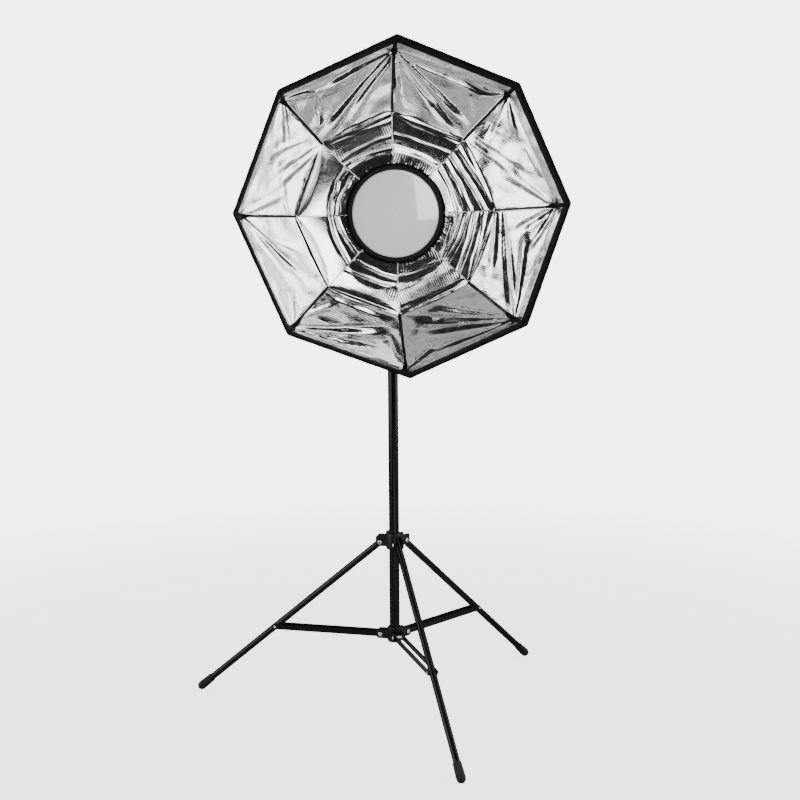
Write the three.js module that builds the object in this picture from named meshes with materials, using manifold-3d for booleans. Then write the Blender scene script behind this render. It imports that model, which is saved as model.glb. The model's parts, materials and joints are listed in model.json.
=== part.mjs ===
// Studio softbox: an eight-sided fold-up reflector on a round LED lamp head, carried by a
// three-section stand with a folding tripod base. Millimetres, +Z up, the softbox faces -Y.
import * as THREE from "three";
import Module from "manifold-3d";

const wasm = await Module();
wasm.setup();

const GAP = 0.3;                    // clearance between pieces that touch in the real object
const DEG = Math.PI / 180;

// Stand: the column stands beside the origin, which is under the middle of the bounding box.
const AXIS_X = 42.5, AXIS_Y = 84;
const MAIN_R = 12, MAIN_BORE = 10.8, MAIN_BOTTOM = 160.3, MAIN_TOP = 830;
const MID_R = 10.3, MID_BORE = 9.3, MID_BOTTOM = 262, MID_TOP = 902;
const INNER_R = 8.8, INNER_BORE = 7.8, INNER_BOTTOM = 345, INNER_TOP = 985;
const LEG_AZIMUTHS = [160, 280, 40];
const KNOB_AZIMUTH = 100;           // all lock knobs sit at the back of the column
const PIVOT_R = 32;                 // leg and brace pivots, from the column's axis
const COLLAR_Z = 396, HUB_Z = 174;  // heights of the leg pivots and the brace pivots
const BRACE = 262;                  // strap length between pivots, level when the legs are open
const LEG_R = 8, LEG_BORE = 6.9, LEG_LENGTH = 598;
const LEG_TILT = Math.atan2(BRACE, COLLAR_Z - HUB_Z);   // leg's angle from the vertical

// Lamp head: tilts on a bolt above the column. Depths are measured forward from the diffuser.
const HEAD_X = -5.4, TILT_Z = 1071, TILT_ANGLE = 5.5;
const PIVOT_BACK = 143, PIVOT_DROP = 78;
const BEZEL_R = 104.3, DIFFUSER_R = 95;
const NECK_R = 60, NECK_END = -114, REAR_END = -165;

// Softbox: eight flat-sided gores between eight ribs.
const ROLL = 1.2;                   // the octagon's corners, turned from the vertical
const RIM_R = 350, RIM_D = 153.7;   // front edge
const LIP_R = 338, LIP_D = 86.6;    // corner pockets, where the ribs end
const MID_OCT_R = 216;              // ring of slits, level with the diffuser
const CLOTH = 1.2, CLOTH_INNER_R = 107, SEAM_SETBACK = 4;
const RIB_R = 2.3, RIB_ROOT_R = 72, RIB_ROOT_D = -101.5;

// ---------------------------------------------------------------- helpers
function toSolid(geometry) {
  const g = geometry.index ? geometry.toNonIndexed() : geometry;
  const p = g.getAttribute("position");
  const seen = new Map(), verts = [], tris = [];
  for (let i = 0; i < p.count; i += 3) {
    const t = [0, 1, 2].map((k) => {
      const v = [p.getX(i + k), p.getY(i + k), p.getZ(i + k)];
      const key = v.map((c) => Math.round(c * 1e4)).join();
      if (!seen.has(key)) { seen.set(key, verts.length / 3); verts.push(...v); }
      return seen.get(key);
    });
    if (t[0] !== t[1] && t[1] !== t[2] && t[2] !== t[0]) tris.push(...t);
  }
  return new wasm.Manifold(new wasm.Mesh({
    numProp: 3, vertProperties: new Float32Array(verts), triVerts: new Uint32Array(tris),
  }));
}

function toGeometry(solid) {
  const mesh = solid.getMesh();
  const g = new THREE.BufferGeometry();
  g.setAttribute("position", new THREE.BufferAttribute(new Float32Array(mesh.vertProperties), 3));
  g.setIndex(new THREE.BufferAttribute(new Uint32Array(mesh.triVerts), 1));
  return g;
}

const join = (...parts) => toGeometry(parts.map(toSolid).reduce((a, b) => a.add(b)));
const cut = (part, ...tools) =>
  toGeometry(tools.map(toSolid).reduce((a, b) => a.subtract(b), toSolid(part)));

// Solid of revolution about Z from a closed profile of [radius, height] corners.
function turned(profile, segments = 24) {
  const pts = profile.map(([r, z]) => new THREE.Vector2(r, z));
  pts.push(pts[0].clone());
  const g = new THREE.LatheGeometry(pts, segments).rotateX(Math.PI / 2);
  const solid = toSolid(g);
  return toGeometry(solid.volume() < 0 ? toSolid(flip(g)) : solid);
}

function flip(geometry) {
  const g = geometry.index ? geometry.toNonIndexed() : geometry;
  const p = g.getAttribute("position").array.slice();
  for (let i = 0; i < p.length; i += 9) {
    for (let k = 0; k < 3; k++) [p[i + 3 + k], p[i + 6 + k]] = [p[i + 6 + k], p[i + 3 + k]];
  }
  const out = new THREE.BufferGeometry();
  out.setAttribute("position", new THREE.BufferAttribute(p, 3));
  return out;
}

const tube = (rOut, rIn, z0, z1, segments = 24) =>
  turned([[rIn, z0], [rOut, z0], [rOut, z1], [rIn, z1]], segments);

// Rod along Z, X or Y, between two coordinates on that axis.
function rod(axis, r, a, b, segments = 16) {
  const g = new THREE.CylinderGeometry(r, r, b - a, segments).translate(0, (a + b) / 2, 0);
  if (axis === "z") g.rotateX(Math.PI / 2);
  if (axis === "x") g.rotateZ(-Math.PI / 2);
  return g;
}

function block(x0, x1, y0, y1, z0, z1) {
  return new THREE.BoxGeometry(x1 - x0, y1 - y0, z1 - z0)
    .translate((x0 + x1) / 2, (y0 + y1) / 2, (z0 + z1) / 2);
}

// Flat plate in the XZ plane, thickness along Y from y0 to y1.
function plateXZ(shape, y0, y1, curveSegments = 5) {
  return new THREE.ExtrudeGeometry(shape, { depth: y1 - y0, bevelEnabled: false, curveSegments })
    .rotateX(Math.PI / 2).translate(0, y1, 0);
}

const MATERIALS = {
  black_paint: [0x121212, 0.3, 0.35], black_plastic: [0x161616, 0, 0.55],
  rubber: [0x0d0d0d, 0, 0.85], bolt_steel: [0xb9bbbc, 1, 0.3],
  heat_sink_metal: [0x8d9093, 1, 0.45], board_white: [0xe8e8e4, 0, 0.5],
  opal_acrylic: [0xf3f4f2, 0, 0.12], silver_cloth: [0xc6c8c9, 0.4, 0.45],
};

function put(parent, name, geometry, material) {
  const [color, metalness, roughness] = MATERIALS[material];
  const mesh = new THREE.Mesh(geometry, new THREE.MeshStandardMaterial({ color, metalness, roughness }));
  mesh.name = name;
  mesh.material.name = material;
  parent.add(mesh);
  return mesh;
}

function frame(parent, x, y, z) {
  const g = new THREE.Group();
  g.position.set(x, y, z);
  parent.add(g);
  return g;
}

// Frame whose +X points away from the column at an azimuth.
function radial(parent, azimuth, z = 0) {
  const g = frame(parent, 0, 0, z);
  g.rotation.z = azimuth * DEG;
  return g;
}

// Pin with a domed head at each end, lying along Y.
function headedPin(shaftR, halfLength, headR, headT) {
  const h = halfLength;
  return turned([
    [0, -h - headT], [headR * 0.7, -h - headT], [headR, -h - headT * 0.4], [headR, -h],
    [shaftR, -h], [shaftR, h], [headR, h], [headR, h + headT * 0.4], [headR * 0.7, h + headT],
    [0, h + headT],
  ], 12).rotateX(-Math.PI / 2);
}

// Pair of cheeks of a yoke that points along +X, pivot at (PIVOT_R, z = 0).
function cheekPair(inner, thick, low, high, holeR) {
  const s = new THREE.Shape();
  s.moveTo(9, low);
  s.lineTo(PIVOT_R + 3, low);
  s.quadraticCurveTo(PIVOT_R + 9.5, low, PIVOT_R + 9.5, low + 7);
  s.lineTo(PIVOT_R + 9.5, high - 4);
  s.quadraticCurveTo(PIVOT_R + 9.5, high, PIVOT_R + 5, high);
  s.lineTo(9, high);
  const hole = new THREE.Path();
  hole.absarc(PIVOT_R, 0, holeR, 0, 2 * Math.PI, true);
  s.holes.push(hole);
  return [plateXZ(s, inner, inner + thick), plateXZ(s, -inner - thick, -inner)];
}

const turnedTo = (geometry, azimuth) => geometry.rotateZ(azimuth * DEG);

// ---------------------------------------------------------------- stand
const model = new THREE.Group();
model.name = "studio_softbox";
const column = frame(model, AXIS_X, AXIS_Y, 0);

put(column, "main_tube", tube(MAIN_R, MAIN_BORE, MAIN_BOTTOM, MAIN_TOP, 28), "black_paint");

// Lower hub: a cup under the main tube with three yokes for the braces.
{
  const cheeks = LEG_AZIMUTHS.flatMap((a) =>
    cheekPair(10.8, 3, -9.5, 9.5, 3 + GAP).map((c) => turnedTo(c.translate(0, 0, HUB_Z), a)));
  const cup = turned([[0, 156], [15, 156], [17.5, 158.5], [17.5, 190], [16, 192], [0, 192]]);
  const bore = rod("z", MAIN_R + GAP, 160, 200, 28);
  put(column, "lower_hub", cut(join(cup, ...cheeks), bore), "black_plastic");
}
LEG_AZIMUTHS.forEach((azimuth, i) => {
  const yoke = radial(column, azimuth, HUB_Z);
  const pin = headedPin(3, 14.1, 5, 2).translate(PIVOT_R, 0, 0);
  put(yoke, `hub_pin_${i + 1}`, pin, "bolt_steel");
});

// Tube clamp: a sleeve on the lower tube's end that grips the tube sliding in it.
function tubeClamp(lowerR, upperR, top) {
  const body = turned([
    [0, top - 12], [lowerR + 4.5, top - 12], [lowerR + 6, top - 9], [lowerR + 6, top + 17],
    [lowerR + 3.5, top + 22], [0, top + 22],
  ]);
  const boss = block(lowerR, lowerR + 11, -8, 8, top + 1, top + 20);
  const whole = join(body, turnedTo(boss, KNOB_AZIMUTH));
  const screwHole = turnedTo(rod("x", 3 + GAP, 2, lowerR + 20).translate(0, 0, top + 10.5), KNOB_AZIMUTH);
  return cut(whole, rod("z", lowerR + GAP, top - 20, top + GAP, 28),
    rod("z", upperR + GAP, top - 1, top + 30, 24), screwHole);
}

// Lock knob along +X: screw, collar and a lobed grip.
function lockKnob(tip, seat) {
  const grip = new THREE.Shape();
  const n = 30;
  for (let k = 0; k < n; k++) {
    const a = (k / n) * 2 * Math.PI, r = 11 + 1.1 * Math.cos(5 * a);
    if (k) grip.lineTo(r * Math.cos(a), r * Math.sin(a));
    else grip.moveTo(r * Math.cos(a), r * Math.sin(a));
  }
  const head = new THREE.ExtrudeGeometry(grip, { depth: 11, bevelEnabled: false })
    .rotateY(Math.PI / 2).translate(seat + 5, 0, 0);
  return join(rod("x", 3, tip, seat + 8, 12), rod("x", 6, seat + GAP, seat + 7, 12), head);
}

put(column, "main_tube_clamp", tubeClamp(MAIN_R, MID_R, MAIN_TOP), "black_plastic");
put(radial(column, KNOB_AZIMUTH, MAIN_TOP + 10.5), "main_clamp_knob",
  lockKnob(MID_R + 0.6, MAIN_R + 11), "black_plastic");

put(column, "section_2_tube", tube(MID_R, MID_BORE, MID_BOTTOM, MID_TOP), "black_paint");
put(column, "section_2_clamp", tubeClamp(MID_R, INNER_R, MID_TOP), "black_plastic");
put(radial(column, KNOB_AZIMUTH, MID_TOP + 10.5), "upper_clamp_knob",
  lockKnob(INNER_R + 0.6, MID_R + 11), "black_plastic");

put(column, "section_3_tube", tube(INNER_R, INNER_BORE, INNER_BOTTOM, INNER_TOP), "black_paint");
put(column, "spigot", turned([
  [0, 955], [INNER_BORE - GAP, 955], [INNER_BORE - GAP, INNER_TOP + GAP], [INNER_R, INNER_TOP + GAP],
  [INNER_R, 988], [8, 989], [8, 1012], [6.8, 1014], [6.8, 1026], [8, 1028], [8, 1042.7],
  [7, 1043.7], [0, 1043.7],
]), "bolt_steel");

// Leg collar: slides on the main tube, three yokes for the legs, lock knob at the back.
const KNOB_Z = COLLAR_Z + 9;
{
  const cheeks = LEG_AZIMUTHS.flatMap((a) =>
    cheekPair(8.4, 3, -9, 16, 3 + GAP).map((c) => turnedTo(c.translate(0, 0, COLLAR_Z), a)));
  const sleeve = turned([[0, 380], [17, 380], [19, 383], [19, 414], [17, 418], [0, 418]]);
  const boss = turnedTo(block(10, 23, -8, 8, KNOB_Z - 8, KNOB_Z + 8), KNOB_AZIMUTH);
  const screw = turnedTo(rod("x", 3 + GAP, 2, 40).translate(0, 0, KNOB_Z), KNOB_AZIMUTH);
  put(column, "leg_collar",
    cut(join(sleeve, boss, ...cheeks), rod("z", MAIN_R + 0.4, 370, 430, 28), screw), "black_plastic");
}
put(radial(column, KNOB_AZIMUTH, KNOB_Z), "collar_knob", lockKnob(MAIN_R + 0.8, 23), "black_plastic");

// Legs and braces, one set in each yoke's plane.
const STRAP_IN = LEG_R + 0.5, STRAP_T = 2, STRAP_HALF = 6.5;

function strap(side) {
  const s = new THREE.Shape();
  s.absarc(BRACE, 0, STRAP_HALF, -Math.PI / 2, Math.PI / 2, false);
  s.absarc(0, 0, STRAP_HALF, Math.PI / 2, 1.5 * Math.PI, false);
  const hole = new THREE.Path();
  hole.absarc(0, 0, 3 + GAP, 0, 2 * Math.PI, true);
  s.holes.push(hole);
  const y0 = side > 0 ? STRAP_IN : -STRAP_IN - STRAP_T;
  const flat = plateXZ(s, y0, y0 + STRAP_T);
  const face = side * (STRAP_IN + STRAP_T);
  const head = new THREE.CylinderGeometry(3.2, 4.5, 1.8, 12).translate(0, 0.8, 0);
  if (side < 0) head.rotateX(Math.PI);
  return join(flat, head.translate(BRACE, face, 0));
}

LEG_AZIMUTHS.forEach((azimuth, i) => {
  const n = i + 1;
  const yoke = radial(column, azimuth);
  put(frame(yoke, 0, 0, COLLAR_Z), `collar_pin_${n}`,
    headedPin(3, 11.7, 5, 2).translate(PIVOT_R, 0, 0), "bolt_steel");

  // In the leg's own frame the leg runs down -Z from its pivot.
  const leg = frame(yoke, PIVOT_R, 0, COLLAR_Z);
  leg.rotation.y = -LEG_TILT;
  const bar = cut(tube(LEG_R, LEG_BORE, -LEG_LENGTH + 4, 8), rod("y", 3 + GAP, -12, 12, 12));
  put(leg, `leg_tube_${n}`, bar, "black_paint");

  const tip = -LEG_LENGTH, capR = 10.5;
  const dome = [0, 1, 2, 3].map((k) => {
    const a = (k / 3) * 90 * DEG;
    return [capR * Math.sin(a), tip - capR * Math.cos(a)];
  });
  const boot = turned([
    ...dome, [capR, tip + 10], [9.7, tip + 36], [LEG_R + GAP, tip + 36], [LEG_R + GAP, tip + 3.7],
    [0, tip + 3.7],
  ]);
  // Floor plane in the leg's frame, for the flat the boot stands on.
  const floor = block(-700, 700, -40, 40, -60, 0)
    .translate(-PIVOT_R, 0, -COLLAR_Z).rotateY(LEG_TILT);
  put(leg, `foot_cap_${n}`, cut(boot, floor), "rubber");

  const brace = frame(yoke, PIVOT_R, 0, HUB_Z);
  put(brace, `brace_${n}_strap_a`, strap(1), "black_paint");
  put(brace, `brace_${n}_strap_b`, strap(-1), "black_paint");
});

// ---------------------------------------------------------------- lamp bracket
// Stud socket with one ear beside the lamp's lug; the T-handle's bolt passes through both.
{
  const sleeve = turned([
    [0, 1000], [14, 1000], [15, 1001.5], [15, 1046], [13, 1049], [0, 1049],
  ]);
  const ear = new THREE.Shape();
  ear.moveTo(-13, -30);
  ear.lineTo(13, -30);
  ear.absarc(0, 0, 13, 0, Math.PI, false);
  const plate = new THREE.ExtrudeGeometry(ear, { depth: 10.6, bevelEnabled: false, curveSegments: 8 })
    .rotateX(Math.PI / 2).rotateZ(Math.PI / 2).translate(GAP, 0, TILT_Z);
  const body = cut(join(sleeve, plate), rod("z", 8 + GAP, 990, 1044, 24),
    rod("x", 4 + GAP, -5, 20).translate(0, 0, TILT_Z), rod("y", 3 + GAP, 4, 30, 12).translate(0, 0, 1020));
  put(column, "bracket_socket", body, "black_plastic");
}
{
  const knob = frame(column, 0, 0, 1020);
  knob.rotation.z = Math.PI / 2;
  put(knob, "socket_knob", lockKnob(8.6, 15), "black_plastic");
}
{
  const bolt = join(
    rod("x", 4, -14, 16), rod("x", 8, -18, -11.6, 6), rod("x", 7, 11.2, 30, 20),
    rod("z", 4.5, -25, 25, 16).translate(30, 0, 0));
  put(frame(column, 0, 0, TILT_Z), "tilt_handle", bolt, "black_plastic");
}

// ---------------------------------------------------------------- lamp head
const pivot = frame(column, HEAD_X, 0, TILT_Z);
pivot.rotation.x = -TILT_ANGLE * DEG;
// Lamp frame: origin in the diffuser's centre, -Y forward, so a depth d is at y = -d.
const lamp = frame(pivot, 0, -PIVOT_BACK, PIVOT_DROP);

// Solid of revolution about the lamp's axis from [radius, depth] corners.
const lampTurned = (profile, segments = 36) => turned(profile, segments).rotateX(Math.PI / 2);
const lampBlock = (x0, x1, z0, z1, d0, d1) => block(x0, x1, -d1, -d0, z0, z1);
const lampRod = (r, d0, d1, x, z, segments = 16) => rod("y", r, -d1, -d0, segments).translate(x, 0, z);

put(lamp, "diffuser", lampTurned([[0, -3], [DIFFUSER_R, -3], [DIFFUSER_R, 0], [60, 1.3], [25, 2],
  [0, 2.2]], 40), "opal_acrylic");
put(lamp, "bezel", lampTurned([[DIFFUSER_R + GAP, -12], [BEZEL_R, -12], [BEZEL_R, 2],
  [BEZEL_R - 1.5, 3.5], [DIFFUSER_R + GAP, 3.5]], 40), "black_plastic");
put(lamp, "led_board", lampTurned([[0, -16], [90, -16], [90, -14.4], [0, -14.4]], 32), "board_white");
{
  const base = lampTurned([[0, -24], [92, -24], [92, -16.3], [0, -16.3]], 32);
  const fins = [];
  for (let x = -55; x <= 55; x += 10) {
    const half = Math.sqrt(62 * 62 - x * x);
    fins.push(lampBlock(x - 1.5, x + 1.5, -half, half, -60, -23));
  }
  put(lamp, "heat_sink", join(base, ...fins), "heat_sink_metal");
}
put(lamp, "lamp_housing", lampTurned([
  [104, -12.3], [104, -20], [66, -88], [NECK_R, -90], [NECK_R, NECK_END], [57.5, NECK_END],
  [57.5, -91], [63, -86.5], [101.5, -19], [101.5, -12.3],
]), "black_plastic");

const SWITCH_Z = 26, INLET_Z = -24, DIMMER_X = 30;
{
  const drum = lampTurned([
    [NECK_R, NECK_END - GAP], [NECK_R, REAR_END + 4], [56, REAR_END], [0, REAR_END],
    [0, REAR_END + 2.5], [57.5, REAR_END + 2.5], [57.5, NECK_END - GAP],
  ]);
  const lugShape = new THREE.Shape();
  lugShape.moveTo(-13, 19.4);
  lugShape.absarc(0, 0, 13, Math.PI, 2 * Math.PI, false);
  lugShape.lineTo(13, 19.4);
  const lug = new THREE.ExtrudeGeometry(lugShape, { depth: 10.6, bevelEnabled: false, curveSegments: 8 })
    .rotateX(Math.PI / 2).rotateZ(Math.PI / 2)
    .translate(-11.0 - HEAD_X, PIVOT_BACK, -PIVOT_DROP);
  const bolt = rod("x", 4 + GAP, -20, 20).translate(0, PIVOT_BACK, -PIVOT_DROP);
  put(lamp, "rear_cover", cut(join(drum, lug), bolt,
    lampBlock(-14.3, 14.3, INLET_Z - 10.3, INLET_Z + 10.3, -170, -155),
    lampBlock(-8.3, 8.3, SWITCH_Z - 12, SWITCH_Z + 12, -170, -155),
    lampRod(3.5, -170, -155, DIMMER_X, 0)), "black_plastic");
}
put(lamp, "driver_box", lampBlock(-32, 32, -10, 10, -148, -118), "heat_sink_metal");
{
  const body = join(lampBlock(-14, 14, INLET_Z - 10, INLET_Z + 10, -166, -150),
    lampBlock(-18, 18, INLET_Z - 13, INLET_Z + 13, -167.6, REAR_END - GAP));
  const pins = [-7, 0, 7].map((x) =>
    lampBlock(x - 1, x + 1, INLET_Z + (x ? -3 : 0), INLET_Z + (x ? 2 : 5), -166, -151.5));
  const recess = lampBlock(-11, 11, INLET_Z - 7, INLET_Z + 7, -169, -152.5);
  put(lamp, "power_inlet", join(cut(body, recess), ...pins), "black_plastic");
}
{
  const rocker = frame(lamp, 0, 163, SWITCH_Z);
  rocker.rotation.x = 8 * DEG;
  put(rocker, "rocker_switch", block(-8, 8, -6, 6, -10, 10), "black_plastic");
}
{
  const knob = lampTurned([[0, -182], [9.5, -182], [10.5, -180.5], [11, REAR_END - 1], [3, REAR_END - 1],
    [3, -157], [0, -157]], 24).translate(DIMMER_X, 0, 0);
  const mark = lampBlock(DIMMER_X - 1, DIMMER_X + 1, 4, 9, -183, -180);
  put(lamp, "dimmer_knob", join(knob, mark), "black_plastic");
}

// ---------------------------------------------------------------- softbox
const cornerAzimuth = (k) => 90 + ROLL + 45 * k;
const alongRib = Math.atan2(MID_OCT_R - RIB_ROOT_R, -RIB_ROOT_D);   // rib's angle from the lamp's axis

{
  const ring = lampTurned([[NECK_R + GAP, -109], [78, -109], [80, -107], [80, -95], [NECK_R + GAP, -95]]);
  const slots = Array.from({ length: 8 }, (_, k) =>
    lampBlock(65, 90, -3.7, 3.7, -106.5, -90).rotateY(-cornerAzimuth(k) * DEG));
  put(lamp, "rib_ring", cut(ring, ...slots), "black_plastic");
}

// Ribs: straight rods from the ring, out through the slits, into the corner pockets.
const RIB_LENGTH = Math.hypot(LIP_R - RIB_ROOT_R, LIP_D - RIB_ROOT_D);
for (let k = 0; k < 8; k++) {
  const spoke = frame(lamp, 0, 0, 0);
  spoke.rotation.y = -cornerAzimuth(k) * DEG;
  const rib = frame(spoke, RIB_ROOT_R, -RIB_ROOT_D, 0);
  rib.rotation.z = -(Math.PI / 2 - alongRib);
  const shaft = rod("x", RIB_R, 0, RIB_LENGTH, 10);
  const eye = rod("z", 4.2, -3.3, 3.3, 12);
  const tip = rod("x", 4, RIB_LENGTH - 6, RIB_LENGTH + 2, 10);
  put(rib, `rib_${k + 1}`, join(shaft, eye, tip), "black_paint");
}

// One gore: rows of points from the lamp's bezel to the rim, thickened outwards and backwards.
function gore(k) {
  const a0 = cornerAzimuth(k) * DEG, a1 = cornerAzimuth(k + 1) * DEG, am = (a0 + a1) / 2;
  const columns = 4;
  const straight = (r, d, out, back) => {
    const p0 = [r * Math.cos(a0), r * Math.sin(a0)], p1 = [r * Math.cos(a1), r * Math.sin(a1)];
    const side = Math.hypot(p1[0] - p0[0], p1[1] - p0[1]);
    const inset = SEAM_SETBACK / Math.cos(22.5 * DEG) / side;
    return Array.from({ length: columns + 1 }, (_, j) => {
      const t = inset + (1 - 2 * inset) * (j / columns);
      return [p0[0] + t * (p1[0] - p0[0]), p0[1] + t * (p1[1] - p0[1]), d, out, back];
    });
  };
  const trim = Math.asin(SEAM_SETBACK / CLOTH_INNER_R);
  const arc = Array.from({ length: columns + 1 }, (_, j) => {
    const a = a0 + trim + (a1 - a0 - 2 * trim) * (j / columns);
    return [CLOTH_INNER_R * Math.cos(a), CLOTH_INNER_R * Math.sin(a), 0, 0, 1];
  });
  const rows = [arc, straight(MID_OCT_R, 0, 0.336, 0.942), straight(LIP_R, LIP_D, 0.858, 0.514),
    straight(RIM_R, RIM_D, 0.987, 0.163)];
  const front = [], behind = [];
  for (const row of rows) {
    for (const [x, z, d, out, back] of row) {
      front.push([x, -d, z]);
      behind.push([x + CLOTH * out * Math.cos(am), -d + CLOTH * back, z + CLOTH * out * Math.sin(am)]);
    }
  }
  const w = columns + 1, h = rows.length, flat = [];
  const quad = (a, b, c, d) => flat.push(...a, ...b, ...c, ...a, ...c, ...d);
  for (let i = 0; i < h - 1; i++) {
    for (let j = 0; j < columns; j++) {
      const q = [i * w + j, i * w + j + 1, (i + 1) * w + j + 1, (i + 1) * w + j];
      quad(...q.map((n) => front[n]));
      quad(...q.reverse().map((n) => behind[n]));
    }
  }
  const edge = (a, b) => quad(front[b], front[a], behind[a], behind[b]);
  for (let j = 0; j < columns; j++) {
    edge(j, j + 1);
    edge((h - 1) * w + j + 1, (h - 1) * w + j);
  }
  for (let i = 0; i < h - 1; i++) {
    edge((i + 1) * w, i * w);
    edge(i * w + columns, (i + 1) * w + columns);
  }
  const g = new THREE.BufferGeometry();
  g.setAttribute("position", new THREE.BufferAttribute(new Float32Array(flat), 3));
  const solid = toSolid(g);
  return toGeometry(solid.volume() < 0 ? toSolid(flip(g)) : solid);
}
for (let k = 0; k < 8; k++) put(lamp, `gore_${k + 1}`, gore(k), "silver_cloth");

export default model;
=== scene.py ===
"""Studio softbox on a folding stand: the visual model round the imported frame."""
import json
import math

import bmesh
import bpy
import numpy as np
from mathutils import Matrix, Vector


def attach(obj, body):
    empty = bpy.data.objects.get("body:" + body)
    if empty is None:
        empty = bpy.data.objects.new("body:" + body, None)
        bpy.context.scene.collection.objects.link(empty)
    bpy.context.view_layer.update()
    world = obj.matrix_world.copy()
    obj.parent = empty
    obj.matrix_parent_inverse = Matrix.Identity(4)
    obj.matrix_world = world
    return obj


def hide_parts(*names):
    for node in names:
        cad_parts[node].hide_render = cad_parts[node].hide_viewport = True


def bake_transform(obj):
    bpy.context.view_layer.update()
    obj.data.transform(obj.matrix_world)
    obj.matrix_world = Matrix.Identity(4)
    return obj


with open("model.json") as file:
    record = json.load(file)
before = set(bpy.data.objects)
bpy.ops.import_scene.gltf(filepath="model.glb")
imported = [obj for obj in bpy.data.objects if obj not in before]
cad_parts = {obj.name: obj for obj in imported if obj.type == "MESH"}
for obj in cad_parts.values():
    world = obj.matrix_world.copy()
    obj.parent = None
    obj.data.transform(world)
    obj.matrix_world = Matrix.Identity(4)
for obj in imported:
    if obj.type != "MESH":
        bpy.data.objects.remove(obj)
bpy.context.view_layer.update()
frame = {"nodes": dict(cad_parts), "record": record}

# ------------------------------------------------------------------ dimensions (metres)
MM = 0.001
AXIS = Vector((42.5, 84.0, 0.0)) * MM          # the column's foot
HEAD_X, TILT_Z, TILT_ANGLE = -5.4 * MM, 1071 * MM, math.radians(5.5)
PIVOT_BACK, PIVOT_DROP = 143 * MM, 78 * MM
LEG_AZIMUTHS = [160, 280, 40]
ROLL = 1.2           # degrees, the softbox's turn on the lamp
# Radii and depths of the cloth's lines: the cuff, the ring of slits, the lip and the rim.
CUFF_R, MID_R, LIP_R, LIP_D, RIM_R, RIM_D = (v * MM for v in (105.3, 216, 338, 86.6, 350, 153.7))
RIB_ROOT_R, RIB_ROOT_D = 72 * MM, -101.5 * MM

# Lamp frame to world: origin in the diffuser's centre, -Y forward, depth d at y = -d.
LAMP = (Matrix.Translation(AXIS + Vector((HEAD_X, 0, TILT_Z)))
        @ Matrix.Rotation(-TILT_ANGLE, 4, "X")
        @ Matrix.Translation((0, -PIVOT_BACK, PIVOT_DROP)))
LAMP_NP = np.array(LAMP)


def corner_azimuth(k):
    """Azimuth of rib k in the lamp frame, from +X towards +Z, in radians."""
    return math.radians(90 + ROLL + 45 * k)


# ------------------------------------------------------------------ camera
CAMERA_ANGLES = (-6.34, 8.72, -0.39)              # degrees: yaw, pitch downwards, roll
CAMERA_PLACE = Vector((-0.3631, -3.4129, 1.2580))  # from the column's foot
SENSOR, LENS = 36, 67.76                          # millimetres


def make_camera():
    """The camera at the photograph's viewing angle."""
    yaw, pitch, roll = (math.radians(angle) for angle in CAMERA_ANGLES)
    forward = Vector((-math.sin(yaw) * math.cos(pitch), math.cos(yaw) * math.cos(pitch),
                      -math.sin(pitch)))
    right = forward.cross(Vector((0, 0, 1))).normalized()
    up = right.cross(forward)
    right, up = (math.cos(roll) * right + math.sin(roll) * up,
                 -math.sin(roll) * right + math.cos(roll) * up)
    data = bpy.data.cameras.new("camera")
    data.sensor_width = SENSOR
    data.lens = LENS
    cam = bpy.data.objects.new("camera", data)
    bpy.context.scene.collection.objects.link(cam)
    m = Matrix((right, up, -forward)).transposed().to_4x4()
    m.translation = AXIS + CAMERA_PLACE
    cam.matrix_world = m
    bpy.context.scene.camera = cam


make_camera()


# ------------------------------------------------------------------ node material helpers
class Nodes:
    """A material's node tree with short calls for the nodes used here."""

    def __init__(self, name):
        self.material = bpy.data.materials.new(name)
        self.material.use_nodes = True
        self.tree = self.material.node_tree
        self.shader = self.tree.nodes["Principled BSDF"]

    def add(self, kind, **settings):
        node = self.tree.nodes.new("ShaderNode" + kind)
        for key, value in settings.items():
            if key in node.inputs:
                node.inputs[key].default_value = value
            else:
                setattr(node, key, value)
        return node

    def link(self, a, b):
        self.tree.links.new(a, b)

    def set(self, **values):
        for key, value in values.items():
            self.shader.inputs[key.replace("_", " ")].default_value = value

    def coords(self, uv=False):
        return self.add("TexCoord").outputs["UV" if uv else "Object"]

    def noise(self, vector, scale, detail=4.0, rough=0.55, distortion=0.0):
        n = self.add("TexNoise", Scale=scale, Detail=detail, Roughness=rough,
                     Distortion=distortion)
        self.link(vector, n.inputs["Vector"])
        return n.outputs["Fac"]

    def ramp(self, fac, stops):
        r = self.add("ValToRGB")
        e = r.color_ramp.elements
        while len(e) < len(stops):
            e.new(0.5)
        for el, (pos, col) in zip(e, stops):
            el.position = pos
            el.color = (col, col, col, 1) if isinstance(col, (int, float)) else (*col, 1)
        self.link(fac, r.inputs["Fac"])
        return r.outputs["Color"]

    def math(self, op, a, b=0.5, clamp=False):
        m = self.add("Math", operation=op, use_clamp=clamp)
        for i, v in enumerate((a, b)):
            if isinstance(v, (int, float)):
                m.inputs[i].default_value = v
            else:
                self.link(v, m.inputs[i])
        return m.outputs[0]

    def bump(self, height, strength=0.3, distance=0.001, normal=None):
        b = self.add("Bump", Strength=strength, Distance=distance)
        self.link(height, b.inputs["Height"])
        if normal is not None:
            self.link(normal, b.inputs["Normal"])
        return b.outputs["Normal"]

    def finish(self, color=None, rough=None, normal=None):
        for value, key in ((color, "Base Color"), (rough, "Roughness"), (normal, "Normal")):
            if value is not None:
                self.link(value, self.shader.inputs[key])
        return self.material


EMBOSS = 4.7         # millimetres, pitch of the silver lining's embossed squares


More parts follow.
